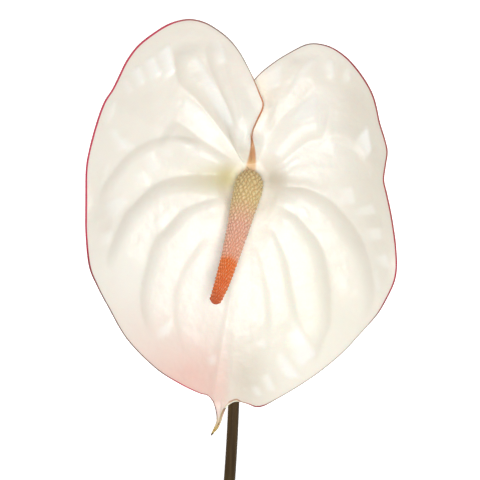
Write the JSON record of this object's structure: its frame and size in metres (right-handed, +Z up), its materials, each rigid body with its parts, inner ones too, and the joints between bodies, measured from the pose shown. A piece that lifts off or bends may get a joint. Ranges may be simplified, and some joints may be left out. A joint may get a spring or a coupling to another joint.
{
  "type": "cut anthurium stem",
  "caption": "White anthurium with a blushed, red-rimmed heart-shaped spathe and an orange spadix on a long bare stem, lying face up.",
  "frame": {"origin": "on the table under the middle of the whole flower's bounding box", "axes": "+Z up out of the flower's face, away from the table; +Y along the stem from the cut end towards the flower; +X to the right as seen from above"},
  "size_m": [0.1429, 0.468, 0.0475],
  "materials": {
    "spathe": "waxy semi-gloss ivory white, blushed pink low on one side, with a fine crimson rim",
    "spadix": "satin, tan at the foot, pink in the middle and orange to the tip",
    "stem": "satin dark olive brown"
  },
  "bodies": {
    "root": {"spathe": "spathe", "spadix": "spadix", "stem": "stem"}
  },
  "joints": []
}
